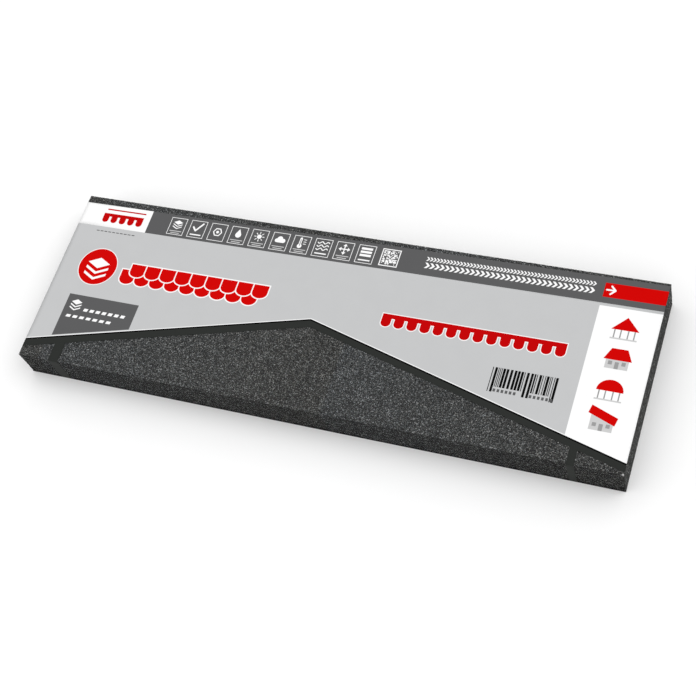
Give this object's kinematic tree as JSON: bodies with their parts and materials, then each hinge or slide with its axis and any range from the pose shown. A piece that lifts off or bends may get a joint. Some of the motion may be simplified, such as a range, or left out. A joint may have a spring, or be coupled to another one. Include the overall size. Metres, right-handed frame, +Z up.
{
  "type": "asphalt shingle bundle",
  "caption": "Flat bundle of rectangular mineral-surfaced bitumen roof shingles, stacked flush and held in one tight printed film sleeve with open ends.",
  "frame": {"origin": "on the floor, under the centre of the bundle's underside", "axes": "+X along the shingles' length, -Y towards the front long edge with the print's posts, +Z up, out of the printed top face"},
  "size_m": [1, 0.3176, 0.0604],
  "materials": {
    "shingle": "matte",
    "printed_film": "gloss"
  },
  "bodies": {
    "root": {"shingle_01": "shingle", "shingle_02": "shingle", "shingle_03": "shingle", "shingle_04": "shingle", "shingle_05": "shingle", "shingle_06": "shingle", "shingle_07": "shingle", "shingle_08": "shingle", "shingle_09": "shingle", "shingle_10": "shingle", "shingle_11": "shingle", "shingle_12": "shingle", "shingle_13": "shingle", "shingle_14": "shingle", "printed_film_sleeve": "printed_film"}
  },
  "joints": []
}
